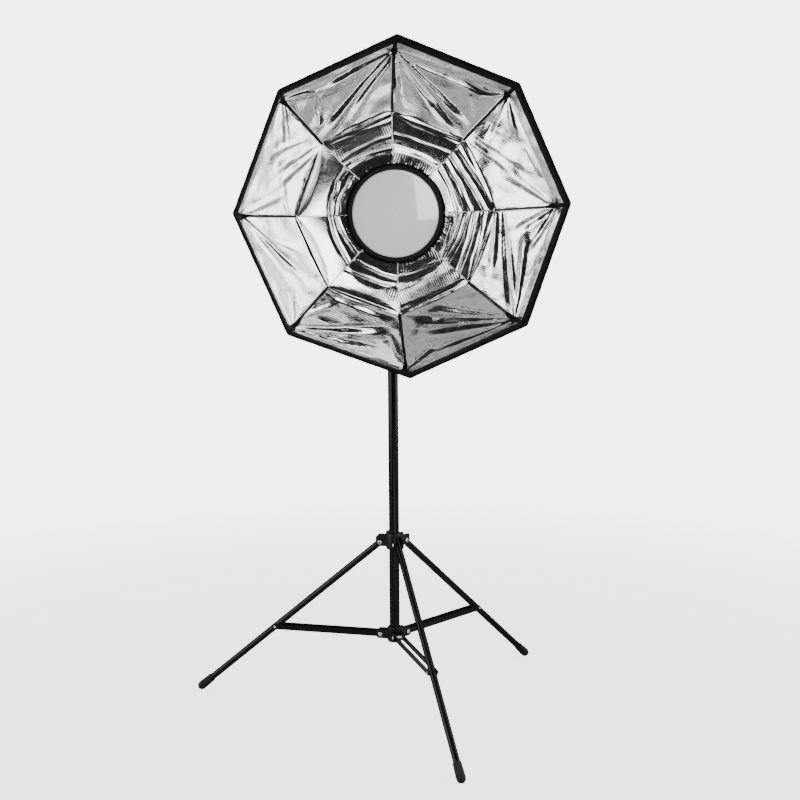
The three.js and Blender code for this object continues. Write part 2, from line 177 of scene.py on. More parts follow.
def silver_lining():
    """Metal-coated cloth: an embossed square grid about 5 mm across and a fine foil crumple."""
    n = Nodes("silver_lining")
    n.set(Metallic=1.0)
    uv = n.coords(uv=True)
    obj = n.coords()
    split = n.add("SeparateXYZ")
    n.link(uv, split.inputs[0])
    lines = []
    for axis in ("X", "Y"):
        s = n.math("SINE", n.math("MULTIPLY", split.outputs[axis], math.pi / EMBOSS))
        lines.append(n.math("POWER", n.math("ABSOLUTE", s), 0.5))
    grid = n.math("MULTIPLY", lines[0], lines[1])
    crumple = n.noise(obj, 300, 4, 0.55, 0.2)
    soft = n.noise(obj, 70, 3, 0.5, 0.3)
    normal = n.bump(grid, 0.14, 0.0008)
    normal = n.bump(crumple, 0.06, 0.0008, normal)
    normal = n.bump(soft, 0.05, 0.003, normal)
    color = n.ramp(n.noise(obj, 38, 5, 0.6),
                   [(0.25, (0.80, 0.805, 0.81)), (0.75, (0.93, 0.935, 0.94))])
    rough = n.ramp(n.noise(obj, 90, 4, 0.5), [(0.3, 0.10), (0.7, 0.19)])
    return n.finish(color, rough, normal)


def woven_black(name, pitch, lift):
    """Plain-woven black nylon: the weave's pitch in millimetres, and how light its black is."""
    n = Nodes(name)
    n.set(Sheen_Weight=0.01, Sheen_Roughness=0.5, Specular_IOR_Level=0.08)
    uv = n.coords(uv=True)
    split = n.add("SeparateXYZ")
    n.link(uv, split.inputs[0])
    k = 2 * math.pi / pitch
    sx = n.math("SINE", n.math("MULTIPLY", split.outputs["X"], k))
    sy = n.math("SINE", n.math("MULTIPLY", split.outputs["Y"], k))
    weave = n.math("MULTIPLY", sx, sy)
    fuzz = n.noise(n.coords(), 900, 3, 0.6)
    normal = n.bump(weave, 0.5, 0.0004)
    normal = n.bump(fuzz, 0.3, 0.0004, normal)
    color = n.ramp(n.noise(n.coords(), 30, 5, 0.6), [(0.3, lift * 0.6), (0.75, lift * 1.5)])
    rough = n.ramp(weave, [(0.0, 0.78), (1.0, 0.62)])
    return n.finish(color, rough, normal)


def loop_tape():
    """Napped black loop tape."""
    n = Nodes("loop_tape")
    n.set(Sheen_Weight=0.02, Sheen_Roughness=0.6, Specular_IOR_Level=0.1)
    loops = n.noise(n.coords(), 1500, 4, 0.7, 1.0)
    normal = n.bump(loops, 0.9, 0.0008)
    color = n.ramp(loops, [(0.3, 0.0008), (0.75, 0.004)])
    return n.finish(color, n.ramp(loops, [(0.2, 0.95), (0.8, 0.75)]), normal)


def powder_coat():
    """Semi-gloss black paint with a slight orange peel and rubbed streaks."""
    n = Nodes("black_powder_coat")
    n.set(Specular_IOR_Level=0.16, Coat_Weight=0.05, Coat_Roughness=0.12)
    obj = n.coords()
    peel = n.noise(obj, 420, 3, 0.5)
    rub = n.noise(obj, 24, 6, 0.62, 0.6)
    normal = n.bump(peel, 0.12, 0.0004)
    color = n.ramp(rub, [(0.35, (0.0008, 0.0008, 0.0009)), (0.8, (0.0026, 0.0026, 0.0028))])
    return n.finish(color, n.ramp(rub, [(0.3, 0.20), (0.75, 0.36)]), normal)


def moulded_plastic():
    """Grained black plastic with its edges softened."""
    n = Nodes("black_moulded_plastic")
    n.set(Specular_IOR_Level=0.2)
    obj = n.coords()
    grain = n.noise(obj, 650, 4, 0.6)
    wear = n.noise(obj, 40, 5, 0.6)
    normal = n.bump(grain, 0.35, 0.0004, n.add("Bevel", Radius=0.0008).outputs[0])
    color = n.ramp(wear, [(0.3, (0.0015, 0.0015, 0.0016)), (0.8, (0.0045, 0.0045, 0.0047))])
    return n.finish(color, n.ramp(wear, [(0.25, 0.42), (0.8, 0.62)]), normal)


def boot_rubber():
    """Dull black rubber, dusty in patches."""
    n = Nodes("boot_rubber")
    n.set(Specular_IOR_Level=0.3)
    obj = n.coords()
    dust = n.noise(obj, 70, 5, 0.65)
    normal = n.bump(n.noise(obj, 800, 3, 0.6), 0.4, 0.0004)
    color = n.ramp(dust, [(0.35, 0.0015), (0.85, 0.012)])
    return n.finish(color, n.ramp(dust, [(0.3, 0.7), (0.8, 0.9)]), normal)


def zinc_steel():
    """Bright plated steel with fine scratches."""
    n = Nodes("zinc_steel")
    n.set(Metallic=1.0)
    obj = n.coords()
    scratch = n.noise(obj, 520, 5, 0.7, 2.0)
    patch = n.noise(obj, 160, 4, 0.6)
    normal = n.bump(scratch, 0.15, 0.0002)
    color = n.ramp(patch, [(0.3, (0.5, 0.5, 0.51)), (0.8, (0.78, 0.78, 0.77))])
    return n.finish(color, n.ramp(patch, [(0.3, 0.22), (0.8, 0.42)]), normal)


def raw_aluminium():
    """Bare aluminium, brushed one way."""
    n = Nodes("raw_aluminium")
    n.set(Metallic=1.0)
    obj = n.coords()
    stretch = n.add("Mapping")
    stretch.inputs["Scale"].default_value = (1, 14, 1)
    n.link(obj, stretch.inputs["Vector"])
    brushed = n.noise(stretch.outputs[0], 180, 5, 0.6)
    color = n.ramp(brushed, [(0.3, (0.48, 0.485, 0.49)), (0.8, (0.66, 0.66, 0.665))])
    return n.finish(color, n.ramp(brushed, [(0.3, 0.32), (0.8, 0.5)]), n.bump(brushed, 0.1, 0.0003))


def opal():
    """Glossy opal acrylic with a faint unevenness in the glow."""
    n = Nodes("opal_acrylic")
    n.set(Coat_Weight=1.0, Coat_Roughness=0.012, Coat_IOR=1.8,
          Emission_Color=(1, 1, 1, 1), Emission_Strength=0.09, Subsurface_Weight=0.15,
          Subsurface_Radius=(0.004, 0.004, 0.004))
    obj = n.coords()
    color = n.ramp(n.noise(obj, 9, 2, 0.5),
                   [(0.3, (0.90, 0.905, 0.90)), (0.7, (0.94, 0.945, 0.94))])
    rough = n.ramp(n.noise(obj, 60, 4, 0.6), [(0.3, 0.10), (0.8, 0.16)])
    return n.finish(color, rough, n.bump(n.noise(obj, 26, 2, 0.4), 0.04, 0.001))


MAT = {
    "silver": silver_lining(), "shell": woven_black("black_shell_cloth", 1.1, 0.013),
    "loop": loop_tape(), "paint": powder_coat(), "plastic": moulded_plastic(),
    "rubber": boot_rubber(), "steel": zinc_steel(), "aluminium": raw_aluminium(), "opal": opal(),
    "tape": woven_black("black_tape", 0.8, 0.002),
    "thread": woven_black("black_thread", 0.4, 0.016),
}
SLOT_MATERIAL = {
    "black_paint": "paint", "black_plastic": "plastic", "rubber": "rubber", "bolt_steel": "steel",
    "heat_sink_metal": "aluminium", "board_white": "opal", "opal_acrylic": "opal",
    "silver_cloth": "silver",
}


# ------------------------------------------------------------------ mesh helpers
def new_object(name, verts, faces, materials, smooth=True, indices=None, uv=None, normals=None):
    """Mesh object from world points; indices, uv and normals are given per face, vertex, vertex."""
    mesh = bpy.data.meshes.new(name)
    mesh.from_pydata([tuple(v) for v in verts], [], [tuple(int(i) for i in f) for f in faces])
    for m in materials:
        mesh.materials.append(MAT[m])
    if indices is not None:
        mesh.polygons.foreach_set("material_index", np.asarray(indices, np.int32))
    mesh.polygons.foreach_set("use_smooth", [smooth] * len(mesh.polygons))
    if uv is not None:
        layer = mesh.uv_layers.new(name="uv")
        loops = np.zeros(len(mesh.loops), np.int32)
        mesh.loops.foreach_get("vertex_index", loops)
        layer.data.foreach_set("uv", np.asarray(uv, np.float32)[loops].ravel())
    mesh.validate()
    mesh.update()
    if normals is not None:
        mesh.normals_split_custom_set_from_vertices([tuple(n) for n in normals])
    obj = bpy.data.objects.new(name, mesh)
    bpy.context.scene.collection.objects.link(obj)
    return obj


def to_world(points):
    """Lamp-frame point or points to world."""
    return points @ LAMP_NP[:3, :3].T + LAMP_NP[:3, 3]


def outward_faces(mesh):
    """Turn a closed mesh's faces outwards."""
    bm = bmesh.new()
    bm.from_mesh(mesh)
    bmesh.ops.recalc_face_normals(bm, faces=bm.faces)
    bm.to_mesh(mesh)
    bm.free()


def lamp_point(azimuth, r, d):
    """Lamp-frame point at radius r and depth d, from an azimuth in radians."""
    return np.array([r * math.cos(azimuth), -d, r * math.sin(azimuth)])


def swept(name, rings, material, closed=False, uv_scale=1.0, world=False):
    """Tube through rings of points, capped unless closed joins its ends; lamp frame unless world."""
    count, size = len(rings), len(rings[0])
    verts = np.concatenate(rings)
    faces = []
    for i in range(count if closed else count - 1):
        j = (i + 1) % count
        for m in range(size):
            n = (m + 1) % size
            faces.append((i * size + m, i * size + n, j * size + n, j * size + m))
    if not closed:
        faces.append(tuple(range(size))[::-1])
        faces.append(tuple((count - 1) * size + m for m in range(size)))
    along = np.repeat(np.arange(count), size) * uv_scale
    uv = np.stack([along, np.tile(np.arange(size), count) * uv_scale], axis=-1)
    obj = new_object(name, verts if world else to_world(verts), faces, [material], uv=uv)
    outward_faces(obj.data)
    return obj


def tube(name, points, radii, material, sides=10, flatten=1.0, up=None):
    """Tube along points; radii may change along it, and flatten squashes it along up."""
    points = np.asarray(points, float)
    radii = np.broadcast_to(np.asarray(radii, float), len(points))
    tangents = np.gradient(points, axis=0)
    tangents /= np.linalg.norm(tangents, axis=1, keepdims=True)
    rings = []
    angle = np.linspace(0, 2 * math.pi, sides, endpoint=False)
    ref = np.array([0.0, -1.0, 0.0]) if up is None else np.asarray(up, float)
    for p, t, r in zip(points, tangents, radii):
        side = np.cross(t, ref)
        side /= np.linalg.norm(side)
        out = np.cross(side, t)
        rings.append(p + r * (np.outer(np.cos(angle), side) + flatten * np.outer(np.sin(angle), out)))
    return swept(name, rings, material)


BOX_QUADS = ((0, 1, 2, 3), (4, 5, 6, 7), (0, 1, 5, 4), (1, 2, 6, 5), (2, 3, 7, 6), (3, 0, 4, 7))


def small_boxes(name, points, material):
    """Object made of separate boxes, from eight world points to each."""
    faces = [tuple(first + q for q in quad)
             for first in range(0, len(points), 8) for quad in BOX_QUADS]
    obj = new_object(name, points, faces, [material], smooth=False)
    outward_faces(obj.data)
    return obj


CREASE_ANGLE = 32     # degrees; a CAD node's sharper edges stay sharp


def finish_cad_nodes():
    """Smooth shading with sharp creases, and a material, on every CAD node."""
    slots = {s["node"]: s["material_slot"] for s in frame["record"]["subparts"]}
    for name, obj in frame["nodes"].items():
        material = MAT[SLOT_MATERIAL[slots[name]]]
        obj.data.materials.clear()
        obj.data.materials.append(material)
        obj.data.polygons.foreach_set("use_smooth", [True] * len(obj.data.polygons))
        weld = obj.modifiers.new("weld", "WELD")
        weld.merge_threshold = 0.01 * MM
        split = obj.modifiers.new("split", "EDGE_SPLIT")
        split.split_angle = math.radians(CREASE_ANGLE)


# ------------------------------------------------------------------ softbox cloth
# A point of gore k is given by w, from -1 at rib k to 1 at the next rib, and v, which runs
# outwards: 0 at the cuff, 1 at the ring of slits, 2 at the lip and 3 at the rim.
HALF = 22.5                        # degrees, half a gore
BLEND_START, BLEND_END = 37, 77    # millimetres from a gore's middle plane
FLAT_OUT = [0, 111, 255, 323]      # millimetres out from the cuff, on the flat cut
DISC_R = 95 * MM
THICK = 1.1 * MM                   # from the lining to the shell
COLS, ROWS_INNER, ROWS_OUTER, ROWS_LIP = 40, 44, 60, 24
# The loop tape covers the lip from this v to the rim, gore by gore.
TAPE_V = [2.46, 2.42, 2.42, 2.43, 2.46, 2.50, 2.55, 2.53]


def smooth01(x):
    """Smooth step from 0 to 1."""
    x = np.clip(x, 0, 1)
    return x * x * (3 - 2 * x)


# The rim is pulled a little out of true: millimetres outwards at each corner.
RIM_PULL = [6, 1, 1, 4, 1, 5, 2, 5]


def base_point(k, w, v):
    """Undisturbed surface of gore k in the lamp frame."""
    half = math.radians(HALF)
    mid_azimuth = corner_azimuth(k) + half
    c = math.cos(half)
    rows_r = [CUFF_R, MID_R, LIP_R, RIM_R]
    rows_d = [0.0, 0.0, LIP_D, RIM_D]

    def row(i):
        """Across row i: out from the axis, to the side and forwards; the cuff's row is an arc."""
        if i == 0:
            a = w * half
            return rows_r[0] * np.cos(a), rows_r[0] * np.sin(a), np.zeros_like(w)
        r = rows_r[i]
        return np.full_like(w, r * c), w * r * math.sin(half), np.full_like(w, rows_d[i])

    v = np.clip(v, 0, 3)
    i0 = np.minimum(np.floor(v).astype(int), 2)
    t = v - i0
    out = np.zeros(w.shape + (3,))
    for i in range(3):
        a, b = row(i), row(i + 1)
        sel = i0 == i
        for j in range(3):
            out[..., j] = np.where(sel, a[j] * (1 - t) + b[j] * t, out[..., j])
    radial, side, depth = out[..., 0], out[..., 1], out[..., 2]
    past_lip = np.clip(v - 2, 0, 1)
    first = (1 - w) / 2 * RIM_PULL[k] * MM * past_lip
    second = (1 + w) / 2 * RIM_PULL[(k + 1) % 8] * MM * past_lip
    radial = radial + (first + second) * c
    side = side + (second - first) * math.sin(half)
    ca, sa = math.cos(mid_azimuth), math.sin(mid_azimuth)
    return np.stack([radial * ca - side * sa, -depth, radial * sa + side * ca], axis=-1)


# How far the bend at the ring of slits is eased towards the lamp, gore by gore.
EASE = [0.10, 0.24, 0.22, 0.16, 0.08, 0.12, 0.14, 0.08]


def rounded_base(k, w, v):
    """The base with its bend at the slits eased towards the lamp, most of all between ribs."""
    ease = EASE[k]
    free = 1 - np.abs(w) ** 4
    blur = (0.03 + ease * free) * np.exp(-((v - 1 + 0.45 * ease) / (0.12 + 0.6 * ease)) ** 2)
    blur = np.minimum(blur, np.maximum(v - 0.02, 0)) + 0.012 * np.exp(-((v - 2) / 0.05) ** 2)
    total = np.zeros(w.shape + (3,))
    steps = np.linspace(-1, 1, 9)
    weights = 1 - np.abs(steps) * 0.8
    for step, weight in zip(steps, weights / weights.sum()):
        total += weight * base_point(k, w, v + step * blur)
    return total


def gore_half_width(v):
    """Half width of the flat cut at v, in millimetres."""
    r = np.interp(v, [0, 1, 2, 3], [CUFF_R, MID_R, LIP_R, RIM_R]) / MM
    return r * math.sin(math.radians(HALF))


def flat_coords(w, v):
    """Place on the flat cut in millimetres: across, and out from the cuff."""
    return w * gore_half_width(v), np.interp(v, [0, 1, 2, 3], FLAT_OUT)


def value_noise(x, y, seed):
    """Smooth 2-D noise in -1..1 on arrays, lattice spacing 1, from an integer hash."""
    xi, yi = np.floor(x).astype(np.int64), np.floor(y).astype(np.int64)
    fx, fy = smooth01(x - xi), smooth01(y - yi)

    def lattice(a, b):
        h = (a * 374761393 + b * 668265263 + seed * 974634777) & 0x7FFFFFFF
        h = ((h ^ (h >> 13)) * 1274126177) & 0x7FFFFFFF
        return ((h ^ (h >> 16)) & 0xFFFF) / 32767.5 - 1

    top = lattice(xi, yi) * (1 - fx) + lattice(xi + 1, yi) * fx
    low = lattice(xi, yi + 1) * (1 - fx) + lattice(xi + 1, yi + 1) * fx
    return top * (1 - fy) + low * fy


# Tension folds on the outer part of each gore. A fold is a tent that opens out from its first
# end: (w, v) of both ends, then its height and its half width in millimetres.
FOLDS = {
    0: [(-1, 2, 0.55, 1.80, 4, 13), (0.40, 1.86, 0.74, 1.30, -6, 12),
        (-1, 1.98, 0.95, 1.06, 10, 17), (-1, 1.95, 0.66, 1.10, -8, 12),
        (-1, 1.90, 0.15, 1.12, 5, 12), (1, 1.98, 0.35, 1.80, 3, 12), (0.95, 1.2, 0.6, 1.6, 2, 8)],
    1: [(-0.95, 1.05, 0.20, 1.72, 4, 16), (-0.9, 1.02, 0.55, 1.60, 4, 16),
        (-1, 1.96, -0.35, 1.55, -4, 13), (-0.8, 1.3, -0.1, 1.85, 3, 12),
        (1, 1.96, 0.45, 1.30, 3, 13), (0.95, 1.15, 0.1, 1.5, 2, 12)],
    2: [(-1, 1.98, 0.93, 1.06, 3, 12), (-1, 1.96, 0.78, 1.22, 2.5, 9),
        (-1, 1.94, 0.62, 1.34, -1.6, 8), (-1, 1.92, 0.40, 1.55, 2.4, 10),
        (-0.55, 1.62, 0.12, 1.04, -1.5, 7), (0.95, 1.9, 0.35, 1.6, 2, 11)],
    3: [(-1, 1.97, 0.78, 1.28, 6, 14), (-1, 1.99, 0.72, 1.46, -6, 12),
        (-0.95, 1.12, 0.92, 1.10, 4, 12), (0.76, 1.45, 0.98, 1.93, -5, 12),
        (-0.97, 1.70, -0.45, 1.16, -4, 13), (-1, 1.99, 0.6, 1.68, 4, 12)],
    4: [(1, 1.98, -0.90, 1.04, 6, 12), (1, 1.99, -0.88, 1.22, -6, 12), (1, 2, -0.60, 1.44, 7, 14),
        (1, 2, -0.75, 1.80, 4, 11), (1, 1.95, -0.2, 1.02, 3, 12), (-1, 1.97, -0.3, 1.72, 3, 11)],
    5: [(1, 1.04, -0.62, 1.32, 5, 13), (0.95, 1.15, -0.92, 1.88, -7, 13),
        (1, 1.97, 0.45, 1.42, 5, 13), (1, 1.98, 0.12, 1.74, -4, 11), (-1, 1.99, 0.42, 1.30, 5, 13),
        (-1, 1.99, 0.65, 1.60, 5, 14)],
    6: [(1, 1.97, 0.70, 1.28, -7, 13), (0.97, 1.97, 0.25, 1.84, 4, 10),
        (0.90, 1.08, -0.70, 1.78, 3, 15), (0.92, 1.2, -0.45, 1.88, 2.5, 14),
        (-1, 1.95, 0.1, 1.25, 3, 15), (0.1, 1.9, -0.5, 1.95, 3, 9)],
    7: [(1, 1.98, -0.84, 1.24, 9, 13), (1, 1.96, -0.86, 1.10, -7, 12),
        (0.62, 1.90, -0.90, 1.88, -7, 12), (1, 1.95, 0.82, 1.25, 5, 9),
        (1, 1.94, -0.3, 1.08, 4, 13), (-1, 1.97, -0.4, 1.75, 2, 10)],
}
# Pleats of the inner ring: the v of each crest, its drift across the gore, and its height and
# its half width in millimetres.
PLEATS = {
    0: [(0.92, 0.05, 1.3, 5), (0.58, -0.03, 0.9, 4), (0.32, 0.04, 1.4, 5)],
    1: [(0.36, -0.02, 2.8, 4.5), (0.17, 0.03, 2.6, 4.5)],
    2: [(0.35, 0.03, 2.8, 4.5), (0.17, -0.02, 2.6, 4.5)],
    3: [(0.50, -0.03, 1.6, 4), (0.28, 0.04, 1.6, 4)],
    4: [(0.95, 0.02, 1.8, 5), (0.55, -0.05, 0.7, 6), (0.28, 0.05, 0.9, 5)],
    5: [(0.93, -0.10, 3.0, 6), (0.69, -0.05, 3.0, 6), (0.46, 0.03, 2.8, 5.5),
        (0.25, -0.03, 2.4, 5)],
    6: [(0.97, -0.14, 3.2, 6), (0.74, -0.10, 3.2, 6), (0.50, -0.04, 3.0, 5.5),
        (0.27, 0.03, 2.6, 5)],
    7: [(0.94, 0.06, 1.7, 6), (0.62, -0.04, 1.0, 5), (0.34, 0.02, 1.4, 5)],
}
# How strongly each gore shows its folds, the ripples that cross its pleats, and its gathers.
FOLD_GAIN = [1.4, 0.85, 0.8, 1.1, 1.2, 1.1, 0.9, 1.45]
RIPPLE = [1.8, 0.0, 0.0, 1.2, 1.8, 0.2, 0.2, 1.8]
GATHER = [0.5, 0.3, 0.3, 0.4, 0.4, 0.45, 0.5, 0.5]
# Between the cuff and the slits the cloth dips back: how deep in millimetres, and at what v, in
# the middle of each gore and on every seam.
DISH = [(9, 0.34), (11, 0.50), (11, 0.50), (8, 0.70), (8, 0.52), (8, 0.30), (8, 0.30), (9, 0.34)]
SEAM_DISH = (8, 0.38)
PLEAT_SPAN, LIP_SPAN = 96, 142   # millimetres to one unit of v, in the inner ring and at the lip
SLACK = 4.5           # millimetres that the outer panel hangs back between its ribs
BEHIND_RIB = 2.9      # millimetres from the rib's middle back to the outer panel
TUCK = 2.2            # millimetres more, round the rib's end
TAPE_LIFT = 0.9       # millimetres that the loop tape stands proud of the lining


def dish(k, w, v):
    """How far the inner ring of gore k dips back at (w, v), in millimetres."""
    free = 1 - w ** 2
    deep = SEAM_DISH[0] + (DISH[k][0] - SEAM_DISH[0]) * free
    place = SEAM_DISH[1] + (DISH[k][1] - SEAM_DISH[1]) * free
    t = np.clip(np.minimum(v / place, (1 - v) / (1 - place)), 0, 1)
    return deep * (t - 0.12 * t ** 6) / 0.88


def tent(e, half_width, soft):
    """1 on the crest and 0 beyond half_width, straight-sided with the crest rounded over soft."""
    p = np.clip(1 - (np.sqrt(e * e + soft * soft) - soft) / half_width, 0, 1)
    return 0.65 * p + 0.35 * p * p * (3 - 2 * p)


def relief(k, w, v):
    """How far the cloth of gore k stands forward of its base, in millimetres."""
    x, y = flat_coords(w, v)
    seam = (1 - np.abs(w)) * gore_half_width(v)      # millimetres from the nearer rib's seam
    inner = 1 - smooth01((v - 0.90) / 0.14)
    outer = smooth01((v - 0.98) / 0.10) * (1 - smooth01((v - 1.95) / 0.07))
    h = np.zeros_like(w)

    # Pleats of the inner ring, nearly parallel to the octagon's side.
    for j, (q, drift, tall, half_width) in enumerate(PLEATS[k]):
        wander = 0.022 * value_noise(w * 2.4 + 7 * j, np.full_like(w, 3.1 * j), 11 + k)
        e = (v - q - drift * w - wander) * PLEAT_SPAN
        swell = 0.85 + 0.35 * value_noise(w * 1.6 + j, np.full_like(w, j * 2.7), 23 + k)
        h += inner * tall * swell * tent(e, half_width, 0.8)
    # Gathers where the elastic draws the cloth against the lamp.
    ruffle = value_noise(w * 8 + 20 + 2 * v, v * 0.5, 31 + k)
    crinkle = value_noise(w * 15, v * 6, 37 + k) * np.exp(-(v / 0.07) ** 2)
    h += 0.9 * crinkle * smooth01(v / 0.02)
    h += GATHER[k] * ruffle * np.exp(-(v / 0.14) ** 2) * smooth01(v / 0.03)
    # Small ripples that cross the pleats.
    patches = np.clip(value_noise(x / 30, y / 12, 43 + k) + 0.35, 0, 1)
    h += inner * 0.15 * RIPPLE[k] * patches * np.sin(x * 1.15)

    # Tension folds of the outer panel.
    for j, (w0, v0, w1, v1, tall, half_width) in enumerate(FOLDS[k]):
        ax, ay = flat_coords(np.array(float(w0)), np.array(float(v0)))
        bx, by = flat_coords(np.array(float(w1)), np.array(float(v1)))
        dx, dy = bx - ax, by - ay
        length = math.hypot(dx, dy)
        along = ((x - ax) * dx + (y - ay) * dy) / length ** 2
        across = ((x - ax) * dy - (y - ay) * dx) / length
        t = np.clip(along, 0, 1)
        across = (across + 3.0 * math.sin(2.1 * j + k) * np.sin(np.pi * t)
                  + 1.2 * value_noise(along * 5, np.full_like(w, 1.7 * j), 53 + k))
        opening = 0.16 + 0.84 * np.sqrt(t)
        fade = smooth01(along / 0.05 + 0.5) * smooth01((1.06 - along) / 0.55)
        crest = tent(across, half_width * opening, 0.5 + 0.8 * t)
        h += outer * FOLD_GAIN[k] * tall * opening * fade * crest
    # Wide slack between the ribs, and crumple everywhere.
    h -= outer * SLACK * np.sin(np.pi * np.clip(v - 1, 0, 1)) * (1 - w ** 2)
    h += outer * 1.4 * value_noise(x / 34 + 3, y / 26, 61 + k)
    calm = 0.22 + 0.78 * outer
    h += calm * 0.26 * value_noise(x / 12, y / 12, 71 + k)
    h += calm * 0.07 * value_noise(x / 4.5, y / 4.5, 83 + k)
    lip = smooth01((v - 2.0) / 0.1) * (1 - smooth01((v - TAPE_V[k] + 0.07) / 0.07))
    h += lip * 1.2 * value_noise(x / 14, y / 30, 97 + k)
    # Keep the sewn lines down: the lip seam, and the seam along the rib.
    pinned = 1 - 0.85 * np.exp(-((v - 2.0) * LIP_SPAN / 4) ** 2)
    h *= pinned * smooth01(seam / np.where(v < 0.97, 2.6, 6.0))
    # The outer panel lies just behind the rib, and tucks in behind the rib's end.
    h -= smooth01((v - 1.0) / 0.05) * (1 - smooth01((v - 2.03) / 0.06)) * BEHIND_RIB
    h -= TUCK * np.exp(-(seam / 9) ** 2 - ((v - 2.0) * LIP_SPAN / 16) ** 2)
    h -= dish(k, w, v)
    h += TAPE_LIFT * smooth01((v - TAPE_V[k]) / 0.012)
    return h


def grid_normals(p):
    """Unit normals of a (rows, cols, 3) grid, facing into the softbox."""
    du, dv = np.gradient(p, axis=1), np.gradient(p, axis=0)
    n = np.cross(du, dv)
    n /= np.linalg.norm(n, axis=-1, keepdims=True)
    flip = n[..., 1].mean() > 0
    return -n if flip else n


def across_rib(k):
    """Unit vector across rib k, towards the next rib."""
    a = corner_azimuth(k)
    return np.array([-math.sin(a), 0, math.cos(a)])


def seam_normals(k, w, normal):
    """The normals, turned at each seam into the plane through its rib, so that the gores meet."""
    turned = normal.copy()
    for corner, sign in ((k, -1), (k + 1, 1)):
        across = across_rib(corner)
        share = np.clip(sign * w, 0, 1) ** 10
        turned -= (share * (normal @ across))[..., None] * across
    return turned


def make_gore(k):
    """Both halves of gore k: silver in front, black shell behind, loop tape round the lip."""
    tape_v = TAPE_V[k]
    side = np.linspace(0, 1, COLS + 1) ** 1.35
    across = np.concatenate([-(1 - side), (1 - side)[::-1][1:]])
    out = np.concatenate([np.linspace(0, 1, ROWS_INNER, endpoint=False),
                          np.linspace(1, 2, ROWS_OUTER, endpoint=False),
                          np.linspace(2, tape_v, 12, endpoint=False),
                          [tape_v, tape_v + 0.006, tape_v + 0.013],
                          np.linspace(tape_v + 0.04, 3, ROWS_LIP - 12)])
    w, v = np.meshgrid(across, out)
    base = rounded_base(k, w, v)
    normal = seam_normals(k, w, grid_normals(base))
    front = base + normal * (relief(k, w, v) * MM)[..., None]
    shade = grid_normals(front)
    behind = front - normal * THICK
    uv = np.stack(flat_coords(w, v), axis=-1)
    rows, n = len(out), COLS + 1
    off = rows * n                   # from a vertex of the lining to the shell's behind it
    index = np.arange(off).reshape(rows, n)
    for half in range(2):
        pick = slice(half * COLS, half * COLS + n)
        f, b, s, t = (a[:, pick].reshape(-1, a.shape[-1]) for a in (front, behind, shade, uv))
        corners = index[:-1, :-1], index[:-1, 1:], index[1:, 1:], index[1:, :-1]
        quads = np.stack(corners, -1).reshape(-1, 4)
        border = [index[0, ::-1], index[:, 0], index[-1, :], index[::-1, -1]]
        edges = np.concatenate([np.stack([e[:-1], e[1:], e[1:] + off, e[:-1] + off], -1)
                                for e in border])
        p = f[quads[0]]
        if np.dot(np.cross(p[1] - p[0], p[2] - p[0]), shade[0, 0]) < 0:
            quads = quads[:, ::-1]
            edges = edges[:, ::-1]
        # The shell's quads are split along the same diagonal as the lining's in front of them.
        faces = np.concatenate([quads, quads[:, [0, 3, 2, 1]] + off, edges])
        taped = np.repeat(out[:-1] >= tape_v - 1e-6, n - 1)
        slots = np.concatenate([np.where(taped, 2, 0), np.full(len(quads) + len(edges), 1)])
        obj = new_object(f"cloth_{k + 1}_{'ab'[half]}", to_world(np.concatenate([f, b])), faces,
                         ["silver", "shell", "loop"], indices=slots, uv=np.concatenate([t, t]),
                         normals=np.concatenate([s, -s]) @ LAMP_NP[:3, :3].T)
        half_blend(obj, k, half)
        if half == 0:
            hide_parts(f"gore_{k + 1}")
        yield obj


def half_blend(obj, k, half):
    """Bake a piece of half a gore into world space; where it would blend from rib to lamp is worked
    out but not used.
    """
    toward = corner_azimuth(k) + math.radians(HALF) + math.radians(-90 if half == 0 else 90)
    step = np.array([math.cos(toward), 0, math.sin(toward)])
    start, end = (to_world(step * reach * MM) for reach in (BLEND_START, BLEND_END))
    tuple(start)
    tuple(end)
    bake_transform(obj)


# Cross section of the rim's binding in millimetres: towards the inside, and down from the rim.
BINDING = [(3.0, 12.5), (3.4, 11.5), (3.5, 6), (3.3, 0), (2.3, -1.6), (0.8, -2.2), (-0.8, -2.2),
           (-1.9, -1.6), (-2.3, 0), (-2.4, 6), (-2.3, 11.5), (-1.9, 12.5), (0.4, 12.6)]
# The stitches on each face: the two points of the section they lie between, and the one opposite.
STITCHED = ((1, 2, 10), (10, 9, 1))
STITCH_PITCH, STITCH_LENGTH, STITCH_START = 4.2 * MM, 2.9 * MM, 0.6 * MM
STITCH_SECTION = ((-0.28, -0.1), (0.28, -0.1), (0.16, 0.28), (-0.16, 0.28))


def make_binding(k, half):
    """Folded tape over the rim of half a gore, and the stitches on both its faces."""
    mid = corner_azimuth(k) + math.radians(HALF)
    w = np.linspace(-1, 0, 34) if half == 0 else np.linspace(0, 1, 34)
    edge = base_point(k, w, np.full_like(w, 3.0))
    below = base_point(k, w, np.full_like(w, 2.9))
    down = below - edge
    down /= np.linalg.norm(down, axis=1, keepdims=True)
    inward = -np.array([math.cos(mid), 0, math.sin(mid)])
    inward = inward - np.sum(inward * down, axis=1, keepdims=True) * down
    inward /= np.linalg.norm(inward, axis=1, keepdims=True)
    rings = []
    for i, (e, dn, inn) in enumerate(zip(edge, down, inward)):
        swell = 1 + 0.10 * math.sin(17 * w[i] + 3 * k) + 0.05 * math.sin(41 * w[i] + k)
        rings.append(np.array([e + MM * (inn * a * swell + dn * b) for a, b in BINDING]))
    obj = swept(f"rim_binding_{k + 1}_{'ab'[half]}", rings, "tape", uv_scale=4.0)
    thread = make_stitches(f"rim_stitches_{k + 1}_{'ab'[half]}", np.array(rings))
    for piece in (obj, thread):
        half_blend(piece, k, half)
    return [obj, thread]


